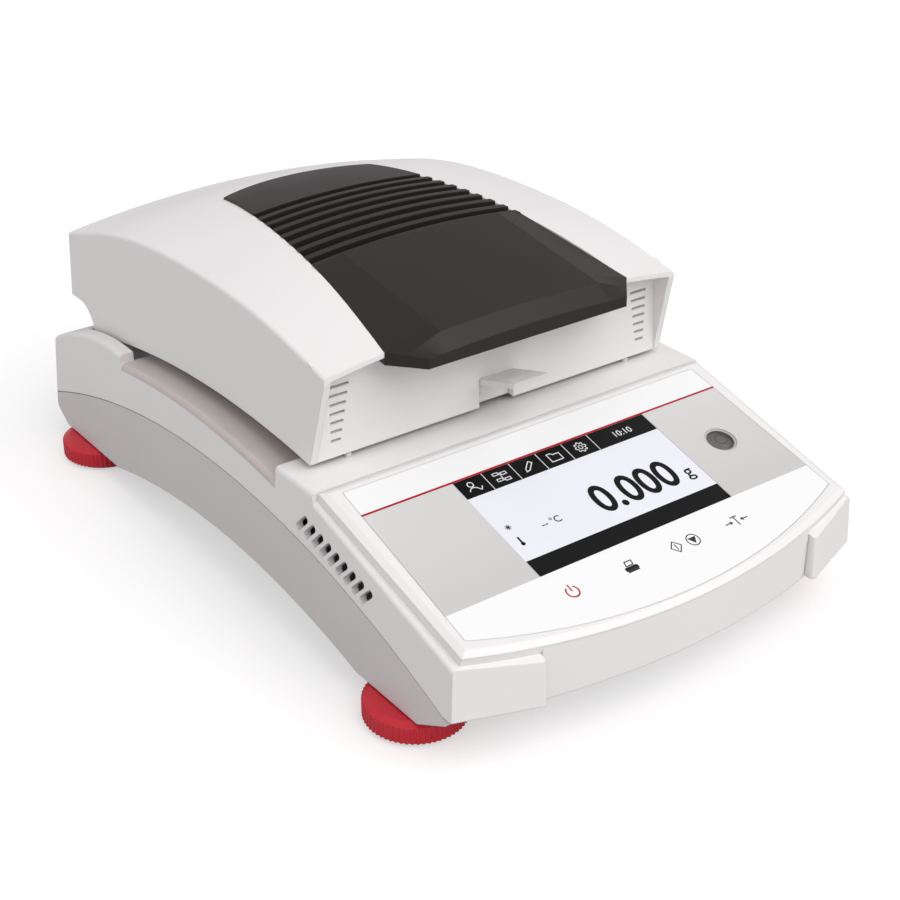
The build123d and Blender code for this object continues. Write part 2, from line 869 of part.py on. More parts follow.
with BuildPart() as pan_support:
    with BuildSketch(pan_plane.offset(support_z)):
        Rectangle(2 * support_radius, support_width)
        Rectangle(support_width, 2 * support_radius)
        Circle(post_radius + 5)
    extrude(amount=support_thickness)
    with BuildSketch(pan_plane.offset(support_z + support_thickness)):
        with PolarLocations(support_radius - 3, 4):
            Circle(2)
    extrude(amount=pan_floor_z - pan_seat_gap - support_z - support_thickness)
save(pan_support.part, "pan_support")

# Sample pan: shallow dish with a turned-out rim
with BuildPart() as sample_pan:
    with BuildSketch(pan_plane.offset(pan_floor_z)):
        Circle(pan_radius)
    extrude(amount=pan_height)
    with BuildSketch(pan_plane.offset(pan_floor_z + pan_height - pan_sheet)):
        Circle(pan_radius + pan_rim)
    extrude(amount=pan_sheet)
    with BuildSketch(pan_plane.offset(pan_floor_z + pan_sheet)):
        Circle(pan_radius - pan_sheet)
    extrude(amount=pan_height, mode=Mode.SUBTRACT)
save(sample_pan.part, "sample_pan")

# Pan lifter: flat ring with a turned-up grip at the front
with BuildPart() as pan_lifter:
    with BuildSketch(pan_plane.offset(lifter_z)):
        Circle(lifter_outer_radius)
        with Locations((0, -lifter_outer_radius - grip_length / 2 + 2)):
            Rectangle(grip_width, grip_length + 4)
        Circle(lifter_inner_radius, mode=Mode.SUBTRACT)
    extrude(amount=lifter_thickness)
    with BuildSketch(pan_plane.offset(lifter_z)):
        with Locations((0, -lifter_outer_radius - grip_length + lifter_thickness / 2)):
            Rectangle(grip_width, lifter_thickness)
    extrude(amount=grip_height)
save(pan_lifter.part, "pan_lifter")

# Boards in the base, each on four posts
for name, side in (("main_board", -1), ("power_supply", 1)):
    with BuildPart() as board:
        with BuildSketch(Plane.XY.offset(cell_seat_z)):
            with Locations((side * board_post_x, board_post_mid_y)):
                Rectangle(2 * board_post_half_x + 10, 2 * board_post_half_y + 10)
        extrude(amount=board_thickness)
        with BuildSketch(Plane.XY.offset(cell_seat_z + board_thickness)):
            with Locations((side * board_post_x, board_post_mid_y - 22)):
                Rectangle(26, 22)
            with Locations((side * board_post_x - 8, board_post_mid_y + 16)):
                Rectangle(14, 28)
        extrude(amount=4 if side < 0 else 12)
        with BuildSketch(Plane.XY.offset(cell_seat_z + board_thickness)):
            with Locations((side * board_post_x + 10, board_post_mid_y + 10)):
                Circle(5)
            with Locations((side * board_post_x + 10, board_post_mid_y + 24)):
                Circle(5)
        extrude(amount=10)
    save(board.part, name)

# Mains inlet: open socket with three flat pins
with BuildPart() as mains_inlet:
    port_plane = Plane(origin=(rear_ports[0][0], port_face_y, port_z), x_dir=(1, 0, 0), z_dir=(0, -1, 0))
    with BuildSketch(port_plane):
        Rectangle(inlet_width, inlet_height)
    extrude(amount=inlet_depth)
    with BuildSketch(port_plane):
        Rectangle(inlet_cavity_width, inlet_cavity_height)
    extrude(amount=inlet_cavity_depth, mode=Mode.SUBTRACT)
    with BuildSketch(port_plane.offset(inlet_cavity_depth)):
        with Locations((-7, -2), (7, -2), (0, 2)):
            Rectangle(2, 4)
    extrude(amount=-inlet_cavity_depth + 3)
save(mains_inlet.part, "mains_inlet")

with BuildPart() as serial_port:
    port_plane = Plane(origin=(rear_ports[1][0], port_face_y, port_z), x_dir=(1, 0, 0), z_dir=(0, -1, 0))
    with BuildSketch(port_plane):
        Rectangle(serial_width, serial_height)
    extrude(amount=10)
    with BuildSketch(port_plane):
        Trapezoid(18, 8.4, 80)
        Trapezoid(16.6, 7.2, 80, mode=Mode.SUBTRACT)
    extrude(amount=5, mode=Mode.SUBTRACT)
save(serial_port.part, "serial_port")

with BuildPart() as usb_port:
    port_plane = Plane(origin=(rear_ports[2][0], port_face_y, port_z), x_dir=(1, 0, 0), z_dir=(0, -1, 0))
    with BuildSketch(port_plane):
        Rectangle(usb_width, usb_height)
    extrude(amount=14)
    with BuildSketch(port_plane):
        Rectangle(usb_width - 1.2, usb_height - 1.2)
        with Locations((0, 1)):
            Rectangle(usb_width - 3, 1.8, mode=Mode.SUBTRACT)
    extrude(amount=10, mode=Mode.SUBTRACT)
save(usb_port.part, "usb_port")

# Rubber bumpers that the closed lid rests over
for name, x in (("left", -bumper_x), ("right", bumper_x)):
    with BuildPart() as bumper:
        with BuildSketch(Plane.XY.offset(sill_z - bumper_seat)):
            with Locations((x, bumper_y)):
                Circle(bumper_radius)
        extrude(amount=lid_side_z - lid_gap - sill_z + bumper_seat)
    save(bumper.part, f"lid_bumper_{name}")

# Hinge brackets standing on the hump, with their pins
for name, side in (("left", -1), ("right", 1)):
    centre = side * hinge_x
    with BuildPart() as hinge_bracket:
        with BuildSketch(Plane(origin=(centre, 0, 0), x_dir=(0, 1, 0), z_dir=(1, 0, 0))):
            with Locations((hinge_y, hinge_z)):
                Circle(bracket_radius)
            with Locations((hinge_y, (hinge_z + hump_rear_z) / 2)):
                Rectangle(2 * bracket_radius, hinge_z - hump_rear_z)
            with Locations((hinge_y, hinge_z)):
                Circle(pin_radius, mode=Mode.SUBTRACT)
        extrude(amount=bracket_width / 2, both=True)
        add(cover_outer, mode=Mode.SUBTRACT)
    save(hinge_bracket.part, f"hinge_bracket_{name}")

    with BuildPart() as hinge_pin:
        pin_plane = Plane(origin=(centre, hinge_y, hinge_z), x_dir=(0, 1, 0), z_dir=(side, 0, 0))
        with BuildSketch(pin_plane.offset(-bracket_width / 2)):
            Circle(pin_radius)
        extrude(amount=bracket_width + arm_width + 2 * lid_gap)
    save(hinge_pin.part, f"hinge_pin_{name}")


# Lid form: crowned sections lofted along the arch of the side ridge
def lid_form(inset, lift):
    with BuildPart() as form:
        for y, ridge_z, crown in lid_stations:
            y_here = y
            if y == lid_front_y:
                y_here = y - (10 if inset > 0 else 0)
            if y == lid_rear_y:
                y_here = y - inset
            top_z = ridge_z - inset + lift
            half_low = lid_side_x - inset - lid_side_lean * (lid_base_z - lid_side_z)
            half_top = lid_side_x - inset - lid_side_lean * (top_z - lid_side_z)
            with BuildSketch(Plane(origin=(0, y_here, 0), x_dir=(1, 0, 0), z_dir=(0, -1, 0))):
                with BuildLine():
                    Line((-half_low, lid_base_z), (half_low, lid_base_z))
                    Line((half_low, lid_base_z), (half_top, top_z))
                    ThreePointArc((half_top, top_z), (0, top_z + crown), (-half_top, top_z))
                    Line((-half_top, top_z), (-half_low, lid_base_z))
                make_face()
        loft()
    return form.part


lid_outer = lid_form(0, 0)
lid_inner = lid_form(lid_wall, 0)

# Plan outline of the black top plate, shared by the plate and its opening
with BuildSketch() as insert_outline:
    with BuildLine():
        Line((-insert_half_front, insert_front_y), (-insert_half_rear, insert_corner_y))
        ThreePointArc(
            (-insert_half_rear, insert_corner_y), (0, insert_rear_y), (insert_half_rear, insert_corner_y)
        )
        Line((insert_half_rear, insert_corner_y), (insert_half_front, insert_front_y))
        Line((insert_half_front, insert_front_y), (nose_half, nose_y))
        Line((nose_half, nose_y), (-nose_half, nose_y))
        Line((-nose_half, nose_y), (-insert_half_front, insert_front_y))
    make_face()

# Lid shell
with BuildPart() as lid_shell:
    add(lid_outer)
    ridge = lid_shell.edges().filter_by(
        lambda e: e.length > 200 and e.center().Z > 100 and abs(e.center().X) > 60
    )
    fillet(ridge, lid_ridge_round)
    add(lid_inner, mode=Mode.SUBTRACT)
    with BuildSketch(Plane(origin=(0, lid_wall_y, 0), x_dir=(1, 0, 0), z_dir=(0, -1, 0))) as wall_face:
        with Locations((0, (lid_side_z + 140) / 2)):
            Rectangle(2 * lid_side_x - lid_wall, 140 - lid_side_z)
    front_wall = extrude(amount=-lid_wall, mode=Mode.PRIVATE)
    add(front_wall & lid_outer)
    # lower edge of the cheeks and the rear cut-out over the hump
    with BuildSketch(side_plane):
        with BuildLine():
            Line((lid_wall_y - 30, lid_side_z), (lid_wall_y, lid_side_z))
            ThreePointArc(
                (lid_wall_y, lid_side_z),
                (lid_edge_mid_y, lid_edge_mid_z),
                (lid_edge_rear_y, lid_edge_rear_z),
            )
            ThreePointArc(
                (lid_edge_rear_y, lid_edge_rear_z), (lid_edge_rear_y + 4.3, lid_cut_z - 4.5),
                (lid_edge_rear_y + 13, lid_cut_z),
            )
            Line((lid_edge_rear_y + 13, lid_cut_z), (lid_rear_y + 10, lid_cut_z))
            Line((lid_rear_y + 10, lid_cut_z), (lid_rear_y + 10, lid_base_z - 5))
            Line((lid_rear_y + 10, lid_base_z - 5), (lid_wall_y - 30, lid_base_z - 5))
            Line((lid_wall_y - 30, lid_base_z - 5), (lid_wall_y - 30, lid_side_z))
        make_face()
    extrude(amount=lid_side_x + 10, both=True, mode=Mode.SUBTRACT)
    # leaning front edge of the cheeks under the visor lip
    with BuildSketch(side_plane):
        with BuildLine():
            Polyline(
                (lid_front_y, lid_lip_z),
                (lid_wall_y, lid_side_z),
                (lid_wall_y, lid_base_z),
                (lid_front_y - 20, lid_base_z),
                (lid_front_y - 20, lid_lip_z),
                close=True,
            )
        make_face()
    extrude(amount=lid_side_x + 10, both=True, mode=Mode.SUBTRACT)
    # opening for the black plate
    with BuildSketch(Plane.XY.offset(nose_bottom_z)):
        add(insert_outline.sketch)
    extrude(amount=60, mode=Mode.SUBTRACT)
    # vent slots of the front wall
    with BuildSketch(Plane(origin=(0, lid_wall_y, 0), x_dir=(1, 0, 0), z_dir=(0, -1, 0))):
        for index in range(front_vent_count):
            width = front_vent_width - index * front_vent_step
            z = front_vent_top_z - index * front_vent_pitch
            shift = (front_vent_width - width) / 2
            with Locations((-front_vent_x - shift, z), (front_vent_x + shift, z)):
                Rectangle(width, front_vent_height)
        with Locations((0, (lid_side_z + notch_top_z) / 2 - 1)):
            Rectangle(2 * notch_half_width, notch_top_z - lid_side_z + 2)
    extrude(amount=-lid_wall, mode=Mode.SUBTRACT)
    # open rear between the cheeks, where the hinge brackets pass
    with BuildSketch(Plane(origin=(0, lid_rear_y + 5, 0), x_dir=(1, 0, 0), z_dir=(0, -1, 0))):
        with Locations((0, (exhaust_z + lid_base_z) / 2)):
            Rectangle(2 * exhaust_half_width, exhaust_z - lid_base_z)
    extrude(amount=lid_wall + 10, mode=Mode.SUBTRACT)
save(lid_shell.part, "lid_shell")


# One cross-section of the plate's front: edge, facet and crown heights at a station
def nose_section(y, half, edge_z, facet_x, facet_z, crown, bottom_z, inset):
    with BuildSketch(Plane(origin=(0, y, 0), x_dir=(1, 0, 0), z_dir=(0, -1, 0))) as section:
        with BuildLine():
            wide = half - inset
            bend = min(facet_x, wide - 0.5)
            Line((-wide, bottom_z), (wide, bottom_z))
            Line((wide, bottom_z), (wide, edge_z - inset))
            Line((wide, edge_z - inset), (bend, facet_z - inset))
            ThreePointArc((bend, facet_z - inset), (0, facet_z - inset + crown), (-bend, facet_z - inset))
            Line((-bend, facet_z - inset), (-wide, edge_z - inset))
            Line((-wide, edge_z - inset), (-wide, bottom_z))
        make_face()
    return section.sketch


def side_x(y):
    share = (y - insert_front_y) / (insert_corner_y - insert_front_y)
    return insert_half_front + (insert_half_rear - insert_half_front) * share


# Black top plate: faceted nose in front, crowned plate with cooling ribs behind
with BuildPart() as lid_insert:
    # crowned rear half
    with BuildSketch(Plane.XY.offset(lid_base_z)):
        add(insert_outline.sketch)
        with Locations((0, facet_rear_y - 100)):
            Rectangle(200, 200, mode=Mode.SUBTRACT)
    extrude(amount=100)
    add(lid_form(0, insert_lift), mode=Mode.INTERSECT)
    # valley between the ribs
    valley_length = rib_zone_rear_y - facet_rear_y - rib_thickness
    with BuildSketch(Plane.XY.offset(lid_base_z)):
        with Locations((0, facet_rear_y + rib_thickness + valley_length / 2)):
            Rectangle(2 * insert_half_front, valley_length)
        for index in range(rib_count):
            with Locations((0, rib_first_y + index * rib_pitch)):
                Rectangle(2 * insert_half_front, rib_thickness, mode=Mode.SUBTRACT)
    valley = extrude(amount=100, mode=Mode.PRIVATE)
    add(valley - lid_form(rib_depth, insert_lift), mode=Mode.SUBTRACT)
    add(lid_form(insert_depth, 0), mode=Mode.SUBTRACT)
    # nose
    sections = [
        nose_section(
            facet_rear_y, side_x(facet_rear_y), facet_edge_z, facet_half, facet_rear_z,
            facet_crown, nose_bottom_z, 0,
        ),
        nose_section(
            insert_front_y, insert_half_front, corner_edge_z, facet_half, facet_front_z,
            facet_crown, nose_bottom_z, 0,
        ),
        nose_section(
            brow_y, brow_half, brow_edge_z, facet_half, facet_brow_z, facet_crown, nose_bottom_z, 0
        ),
        nose_section(
            nose_y, nose_half, nose_top_z, facet_half, nose_top_z + 0.3, facet_crown, nose_bottom_z, 0
        ),
    ]
    loft(sections, ruled=True)
    hollow = [
        nose_section(
            facet_rear_y + 1, side_x(facet_rear_y), facet_edge_z, facet_half, facet_rear_z,
            facet_crown, nose_bottom_z - 1, lid_wall,
        ),
        nose_section(
            lid_wall_y + lid_wall, side_x(lid_wall_y), corner_edge_z, facet_half,
            facet_front_z, facet_crown, nose_bottom_z - 1, lid_wall,
        ),
    ]
    loft(hollow, ruled=True, mode=Mode.SUBTRACT)
save(lid_insert.part, "lid_insert")

# Lift tab: a sloped plate through the notch, held by a flange behind the wall
with BuildPart() as lid_handle:
    tab_slope = (handle_tip_z - notch_top_z) / (lid_wall_y - handle_reach_y)
    flange_y = lid_wall_y + lid_wall
    flange_top_z = notch_top_z - tab_slope * lid_wall
    with BuildSketch(side_plane):
        with BuildLine():
            Polyline(
                (flange_y + 2, flange_top_z - 2 * tab_slope),
                (handle_reach_y, handle_tip_z),
                (handle_reach_y + 1.5, handle_tip_z - handle_thickness),
                (flange_y + 2, flange_top_z - 2 * tab_slope - handle_thickness),
                close=True,
            )
        make_face()
    extrude(amount=notch_half_width - handle_clearance, both=True)
    with BuildSketch(Plane(origin=(0, flange_y, 0), x_dir=(1, 0, 0), z_dir=(0, -1, 0))):
        with Locations((0, notch_top_z + 1)):
            Rectangle(2 * handle_flange_half, 2 * handle_thickness + 6)
    extrude(amount=-2)
save(lid_handle.part, "lid_handle")

# Inner frame of the lid: a plate fitted to the shell, a rear baffle and the hinge arms
with BuildPart() as lid_frame:
    frame_front_y = lid_wall_y + lid_wall
    frame_length = frame_rear_y - frame_front_y
    with BuildSketch(Plane.XY.offset(frame_z)):
        with Locations((0, frame_front_y + frame_length / 2)):
            Rectangle(2 * lid_side_x, frame_length)
        with Locations((0, frame_front_y)):
            Rectangle(2 * handle_flange_half + 2, 12, mode=Mode.SUBTRACT)
        with Locations((0, pan_y)):
            Circle(frame_hole_radius, mode=Mode.SUBTRACT)
        with Locations((probe_x, probe_y)):
            Circle(probe_radius, mode=Mode.SUBTRACT)
    extrude(amount=frame_thickness)
    with BuildSketch(Plane.XY.offset(frame_z)):
        with Locations((0, frame_rear_y - lid_wall / 2)):
            Rectangle(2 * lid_side_x, lid_wall)
    extrude(amount=60)
    for x in (-lid_post_x, lid_post_x):
        for y in lid_post_ys:
            with BuildSketch(Plane.XY.offset(frame_z)):
                with Locations((x, y)):
                    Circle(lid_post_radius)
            extrude(amount=60)
    add(lid_inner, mode=Mode.INTERSECT)
    add(lid_insert.part, mode=Mode.SUBTRACT)
    for side in (-1, 1):
        arm_x = side * (hinge_x + bracket_width / 2 + lid_gap)
        with BuildSketch(Plane(origin=(arm_x, 0, 0), x_dir=(0, 1, 0), z_dir=(1, 0, 0))):
            with Locations((hinge_y, hinge_z)):
                Circle(arm_radius)
            with Locations(((hinge_y + frame_rear_y) / 2, frame_z + arm_radius)):
                Rectangle(hinge_y - frame_rear_y, 2 * arm_radius)
            with Locations((hinge_y, hinge_z)):
                Circle(pin_radius + hinge_clearance, mode=Mode.SUBTRACT)
        extrude(amount=side * arm_width)
save(lid_frame.part, "lid_frame")

# Protective glass and the ring that clamps it under the frame
with BuildPart() as heat_glass:
    with BuildSketch(pan_plane.offset(frame_z)):
        Circle(glass_radius)
    extrude(amount=-glass_thickness)
save(heat_glass.part, "heat_glass")

with BuildPart() as glass_clamp:
    with BuildSketch(pan_plane.offset(frame_z)):
        Circle(clamp_outer_radius)
        Circle(glass_radius, mode=Mode.SUBTRACT)
    extrude(amount=-glass_thickness)
    with BuildSketch(pan_plane.offset(frame_z - glass_thickness)):
        Circle(clamp_outer_radius)
        Circle(frame_hole_radius, mode=Mode.SUBTRACT)
    extrude(amount=-clamp_thickness)
save(glass_clamp.part, "glass_clamp")

# Ring lamp, its two ceramic holders and the reflector
lamp_plane = Plane(origin=(0, pan_y, lamp_z), x_dir=(1, 0, 0), z_dir=(0, -1, 0))
with BuildPart() as ring_lamp:
    with BuildSketch(lamp_plane):
        with Locations((lamp_radius, 0)):
            Circle(lamp_tube_radius)
    revolve(axis=Axis((0, pan_y, 0), (0, 0, 1)), revolution_arc=360)
save(ring_lamp.part, "ring_lamp")

holder_top_z = lamp_z + lamp_tube_radius + 1
holder_length = frame_hole_radius + 5 - lamp_radius
holders = {}
for name, side in (("left", -1), ("right", 1)):
    with BuildPart() as lamp_holder:
        with BuildSketch(Plane.XY.offset(frame_z + frame_thickness + reflector_sheet)):
            with Locations((side * holder_width, pan_y + lamp_radius + holder_length / 2)):
                Rectangle(holder_width, holder_length)
        extrude(amount=holder_top_z - frame_z - frame_thickness - reflector_sheet)
    holders[name] = lamp_holder.part
    with BuildPart() as cut_holder:
        add(lamp_holder.part)
        add(ring_lamp.part, mode=Mode.SUBTRACT)
    save(cut_holder.part, f"lamp_holder_{name}")

with BuildPart() as reflector:
    with BuildSketch(Plane(origin=(0, pan_y, 0), x_dir=(1, 0, 0), z_dir=(0, -1, 0))):
        with BuildLine():
            low_z = frame_z + frame_thickness
            wall_x = frame_hole_radius - reflector_sheet
            Line((frame_hole_radius + 6, low_z), (wall_x, low_z))
            ThreePointArc((wall_x, low_z), (reflector_bulge_x, reflector_bulge_z), (reflector_top_radius, reflector_top_z))
            Line((reflector_top_radius, reflector_top_z), (0, reflector_top_z))
            Line((0, reflector_top_z), (0, reflector_top_z + reflector_sheet))
            Line((0, reflector_top_z + reflector_sheet), (reflector_top_radius, reflector_top_z + reflector_sheet))
            ThreePointArc(
                (reflector_top_radius, reflector_top_z + reflector_sheet),
                (40.7, 94.7),
                (frame_hole_radius, low_z + reflector_sheet),
            )
            Line((frame_hole_radius, low_z + reflector_sheet), (frame_hole_radius + 6, low_z + reflector_sheet))
            Line((frame_hole_radius + 6, low_z + reflector_sheet), (frame_hole_radius + 6, low_z))
        make_face()
    revolve(axis=Axis((0, pan_y, 0), (0, 0, 1)), revolution_arc=360)
    for holder in holders.values():
        add(holder, mode=Mode.SUBTRACT)
save(reflector.part, "reflector")

# Temperature probe beside the glass
with BuildPart() as temperature_probe:
    with BuildSketch(Plane.XY.offset(frame_z - 3)):
        with Locations((probe_x, probe_y)):
            Circle(probe_radius)
    extrude(amount=frame_thickness + 9)
save(temperature_probe.part, "temperature_probe")

# Housing screws from below, into the cover's corners
for name, (x, y) in screw_places.items():
    with BuildPart() as housing_screw:
        with BuildSketch(Plane.XY.offset(underside_low_z + 1)):
            with Locations((x, y)):
                Circle(screw_head_radius)
        extrude(amount=screw_head_height)
        with BuildSketch(Plane.XY.offset(underside_low_z + 1 + screw_head_height)):
            with Locations((x, y)):
                Circle(screw_radius)
        extrude(amount=screw_length)
    save(housing_screw.part, f"housing_screw_{name}")
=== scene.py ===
import math

import bmesh
import bpy
from mathutils import Matrix, Vector


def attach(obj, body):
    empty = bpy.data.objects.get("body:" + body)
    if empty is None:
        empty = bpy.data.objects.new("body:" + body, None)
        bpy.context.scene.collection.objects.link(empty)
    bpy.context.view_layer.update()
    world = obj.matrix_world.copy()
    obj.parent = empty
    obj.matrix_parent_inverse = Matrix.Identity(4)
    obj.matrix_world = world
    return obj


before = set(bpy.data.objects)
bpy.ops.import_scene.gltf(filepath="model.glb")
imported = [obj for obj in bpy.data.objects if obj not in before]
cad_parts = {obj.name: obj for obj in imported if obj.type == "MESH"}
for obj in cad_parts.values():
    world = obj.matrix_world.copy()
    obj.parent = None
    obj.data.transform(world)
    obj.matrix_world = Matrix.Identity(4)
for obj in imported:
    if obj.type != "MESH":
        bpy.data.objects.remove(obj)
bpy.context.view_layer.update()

MM = 0.001
PANEL_SLOPE = 0.27
PANEL_Z0 = 89.3
PANEL_COS = 1 / math.sqrt(1 + PANEL_SLOPE**2)
SCREEN_DROP = -0.09
INK = 0.05

# Bands along Y in metres, and the deck's arch
DECK_Y = (-0.0388, 0.0885)
DECK_MID_Y = 0.025
DECK_TOP_Z = 0.0653
DECK_ARCH = 1.17
FIELD_Y = (-0.1363, -0.0838)


# ---------------------------------------------------------------- materials
def material(name):
    m = bpy.data.materials.new(name)
    m.use_nodes = True
    tree = m.node_tree
    tree.nodes.clear()
    out = tree.nodes.new("ShaderNodeOutputMaterial")
    bsdf = tree.nodes.new("ShaderNodeBsdfPrincipled")
    tree.links.new(bsdf.outputs["BSDF"], out.inputs["Surface"])
    return m, tree, bsdf


def coords(tree, scale=(1, 1, 1)):
    tc = tree.nodes.new("ShaderNodeTexCoord")
    mapping = tree.nodes.new("ShaderNodeMapping")
    mapping.inputs["Scale"].default_value = scale
    tree.links.new(tc.outputs["Object"], mapping.inputs["Vector"])
    return mapping.outputs["Vector"]


def noise(tree, scale, detail=2.0, rough=0.5, stretch=(1, 1, 1)):
    n = tree.nodes.new("ShaderNodeTexNoise")
    n.inputs["Scale"].default_value = scale
    n.inputs["Detail"].default_value = detail
    n.inputs["Roughness"].default_value = rough
    tree.links.new(coords(tree, stretch), n.inputs["Vector"])
    return n.outputs["Fac"]


def mix(tree, fac, a, b):
    n = tree.nodes.new("ShaderNodeMix")
    n.data_type = "RGBA"
    for socket, value in ((n.inputs[6], a), (n.inputs[7], b)):
        if isinstance(value, (tuple, list)):
            socket.default_value = (*value, 1)
        else:
            tree.links.new(value, socket)
    tree.links.new(fac, n.inputs[0])
    return n.outputs[2]


def ramp(tree, fac, low, high, a=0.0, b=1.0):
    n = tree.nodes.new("ShaderNodeMapRange")
    n.inputs["From Min"].default_value = low
    n.inputs["From Max"].default_value = high
    n.inputs["To Min"].default_value = a
    n.inputs["To Max"].default_value = b
    tree.links.new(fac, n.inputs["Value"])
    return n.outputs["Result"]


def math_node(tree, operation, a, b=None):
    n = tree.nodes.new("ShaderNodeMath")
    n.operation = operation
    for socket, value in zip(n.inputs, (a, b)):
        if value is None:
            continue
        if isinstance(value, (int, float)):
            socket.default_value = value
        else:
            tree.links.new(value, socket)
    return n.outputs[0]


def bump(tree, bsdf, height, strength, distance, edge=0.0):
    n = tree.nodes.new("ShaderNodeBump")
    n.inputs["Strength"].default_value = strength
    n.inputs["Distance"].default_value = distance
    tree.links.new(height, n.inputs["Height"])
    if edge:
        soft = tree.nodes.new("ShaderNodeBevel")
        soft.samples = 4
        soft.inputs["Radius"].default_value = edge
        tree.links.new(soft.outputs["Normal"], n.inputs["Normal"])
    tree.links.new(n.outputs["Normal"], bsdf.inputs["Normal"])


def shade(base, factor):
    return tuple(channel * factor for channel in base)


# Moulded plastic: tone drift, fine spark texture, soft moulded edges
def plastic(name, base, rough=0.45, drift=0.96, grain=0.05, edge=0.0006, coat=0.0, specular=0.5):
    m, tree, bsdf = material(name)
    tone = ramp(tree, noise(tree, 14, 4), 0.2, 0.8)
    colour = mix(tree, tone, shade(base, drift), base)
    fine = noise(tree, 2600, 2)
    speck = ramp(tree, fine, 0.3, 0.7)
    colour = mix(tree, math_node(tree, "MULTIPLY", speck, 0.08), colour, shade(base, 0.9))
    tree.links.new(colour, bsdf.inputs["Base Color"])
    polish = ramp(tree, noise(tree, 40, 3), 0.1, 0.9, rough - 0.03, rough + 0.04)
    tree.links.new(polish, bsdf.inputs["Roughness"])
    bsdf.inputs["Specular IOR Level"].default_value = specular
    bsdf.inputs["Coat Weight"].default_value = coat
    bsdf.inputs["Coat Roughness"].default_value = 0.15
    bump(tree, bsdf, fine, grain, 0.0002, edge)
    return m, tree, bsdf, colour


def metal(name, base, rough=0.3, stretch=(1, 1, 1), scale=900, grain=0.08):
    m, tree, bsdf = material(name)
    lines = noise(tree, scale, 3, 0.6, stretch)
    tone = ramp(tree, lines, 0.3, 0.7)
    tree.links.new(mix(tree, tone, shade(base, 0.85), base), bsdf.inputs["Base Color"])
    polish = ramp(tree, noise(tree, 60, 3), 0.3, 0.7, rough - 0.06, rough + 0.08)
    tree.links.new(polish, bsdf.inputs["Roughness"])
    bsdf.inputs["Metallic"].default_value = 1.0
    bump(tree, bsdf, lines, grain, 0.0002)
    return m


def clear(name, base, rough=0.03, ior=1.47):
    m, tree, bsdf = material(name)
    tone = ramp(tree, noise(tree, 30, 2), 0.3, 0.7)
    tree.links.new(mix(tree, tone, shade(base, 0.97), base), bsdf.inputs["Base Color"])
    polish = ramp(tree, noise(tree, 120, 2), 0.3, 0.7, rough, rough + 0.02)
    tree.links.new(polish, bsdf.inputs["Roughness"])
    bsdf.inputs["Transmission Weight"].default_value = 1.0
    bsdf.inputs["IOR"].default_value = ior
    return m


def axis_of(tree, name):
    tc = tree.nodes.new("ShaderNodeTexCoord")
    split = tree.nodes.new("ShaderNodeSeparateXYZ")
    tree.links.new(tc.outputs["Object"], split.inputs["Vector"])
    return split.outputs[name]


def between(tree, value, low, high):
    above = math_node(tree, "GREATER_THAN", value, low)
    under = math_node(tree, "LESS_THAN", value, high)
    return math_node(tree, "MULTIPLY", above, under)


WHITE = (0.82, 0.80, 0.80)
TRAY = (0.64, 0.61, 0.61)
cover_white = plastic("cover_white", WHITE, rough=0.42)[0]
tray_grey = plastic("tray_grey", TRAY, rough=0.45)[0]
PLATE = (0.025, 0.019, 0.019)
plate_black = plastic("plate_black", PLATE, 0.42, drift=0.85, grain=0.09, specular=0.24)[0]
liner_grey = plastic("liner_grey", (0.22, 0.22, 0.225), rough=0.5)[0]
foot_red = plastic("foot_red", (0.62, 0.018, 0.035), rough=0.35, drift=0.9, grain=0.06)[0]
sole_rubber = plastic("sole_rubber", (0.02, 0.02, 0.02), rough=0.8, drift=0.8, grain=0.3)[0]
socket_black = plastic("socket_black", (0.02, 0.02, 0.02), rough=0.5, drift=0.85)[0]
ceramic = plastic("ceramic", (0.80, 0.78, 0.72), rough=0.6, drift=0.9, grain=0.15)[0]
board_green = plastic("board_green", (0.02, 0.12, 0.05), rough=0.4, drift=0.7, grain=0.1, coat=0.3)[0]
tub_steel = metal("tub_steel", (0.62, 0.61, 0.60), 0.3, (1, 1, 6))
dish_aluminium = metal("dish_aluminium", (0.83, 0.83, 0.84), 0.22, (1, 1, 4))
cell_aluminium = metal("cell_aluminium", (0.70, 0.70, 0.72), 0.35, (8, 1, 1))
frame_steel = metal("frame_steel", (0.58, 0.58, 0.58), 0.32, (1, 6, 1))
hinge_steel = metal("hinge_steel", (0.42, 0.42, 0.44), 0.35, (8, 1, 1))
socket_metal = metal("socket_metal", (0.62, 0.62, 0.60), 0.3, (4, 1, 1))
brass = metal("brass", (0.72, 0.50, 0.20), 0.3, (1, 1, 8))
glass = clear("glass", (0.93, 0.96, 0.95))
lamp_quartz = clear("lamp_quartz", (0.97, 0.94, 0.86), 0.12)
lens = clear("lens", (0.95, 0.97, 0.95), 0.02)


# Cover of the base: white, with the darker deck beside and behind the sill
def deck_material():
    m, tree, bsdf, colour = plastic("base_cover", WHITE, rough=0.42)
    y = axis_of(tree, "Y")
    z = axis_of(tree, "Z")
    # the deck's arch, and the lip that folds down over the side
    away = math_node(tree, "SUBTRACT", y, DECK_MID_Y)
    drop = math_node(tree, "MULTIPLY", math_node(tree, "MULTIPLY", away, away), DECK_ARCH)
    lip = math_node(tree, "SUBTRACT", DECK_TOP_Z, drop)
    mask = between(tree, y, *DECK_Y)
    mask = math_node(tree, "MULTIPLY", mask, math_node(tree, "GREATER_THAN", z, lip))
    deck = mix(tree, ramp(tree, noise(tree, 90, 3), 0.3, 0.7), (0.575, 0.515, 0.495), (0.60, 0.54, 0.52))
    tree.links.new(mix(tree, mask, colour, deck), bsdf.inputs["Base Color"])
    return m


